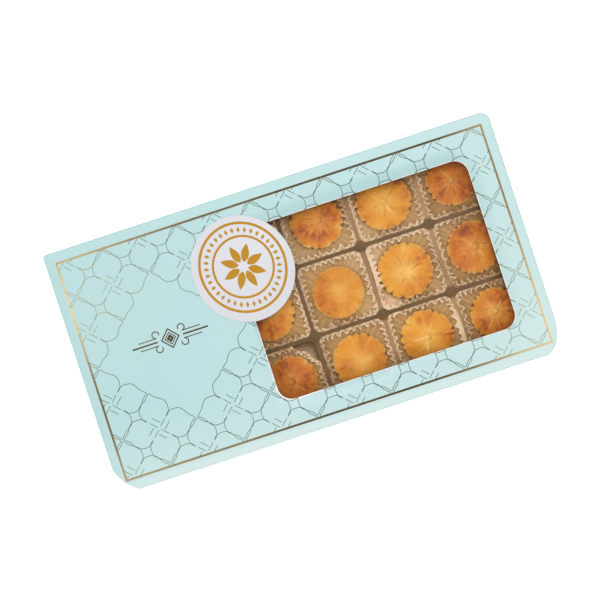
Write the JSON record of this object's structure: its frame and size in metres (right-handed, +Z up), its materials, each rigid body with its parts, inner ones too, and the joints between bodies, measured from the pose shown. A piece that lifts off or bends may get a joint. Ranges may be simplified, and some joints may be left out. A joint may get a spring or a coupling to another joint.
{
  "type": "windowed gift box of filled cookies",
  "caption": "Shut card gift box with a clear window over moulded, filled cookies in fluted paper cases, a foil trellis print and a round label on its lid.",
  "frame": {"origin": "middle of the underside of the box", "axes": "+X along the long side towards the window, +Y across the lid towards the edge that is uppermost in the picture, +Z up out of the lid"},
  "size_m": [0.26, 0.14, 0.0343],
  "materials": {
    "card": "satin printed mint card, white board at the cut edges",
    "film": "clear glossy film",
    "tray": "satin formed brown plastic",
    "paper_case": "thin beige fluted paper",
    "cookie": "baked golden pastry with browner patches",
    "label": "satin white sticker paper"
  },
  "bodies": {
    "root": {"card_base": "card", "card_lid": "card", "window_film": "film", "tray": "tray", "label": "label", "paper_case_a1": "paper_case", "cookie_a1": "cookie", "paper_case_b1": "paper_case", "cookie_b1": "cookie", "paper_case_c1": "paper_case", "cookie_c1": "cookie", "paper_case_d1": "paper_case", "cookie_d1": "cookie", "paper_case_a2": "paper_case", "cookie_a2": "cookie", "paper_case_b2": "paper_case", "cookie_b2": "cookie", "paper_case_c2": "paper_case", "cookie_c2": "cookie", "paper_case_d2": "paper_case", "cookie_d2": "cookie", "paper_case_a3": "paper_case", "cookie_a3": "cookie", "paper_case_b3": "paper_case", "cookie_b3": "cookie", "paper_case_c3": "paper_case", "cookie_c3": "cookie", "paper_case_d3": "paper_case", "cookie_d3": "cookie"}
  },
  "joints": []
}
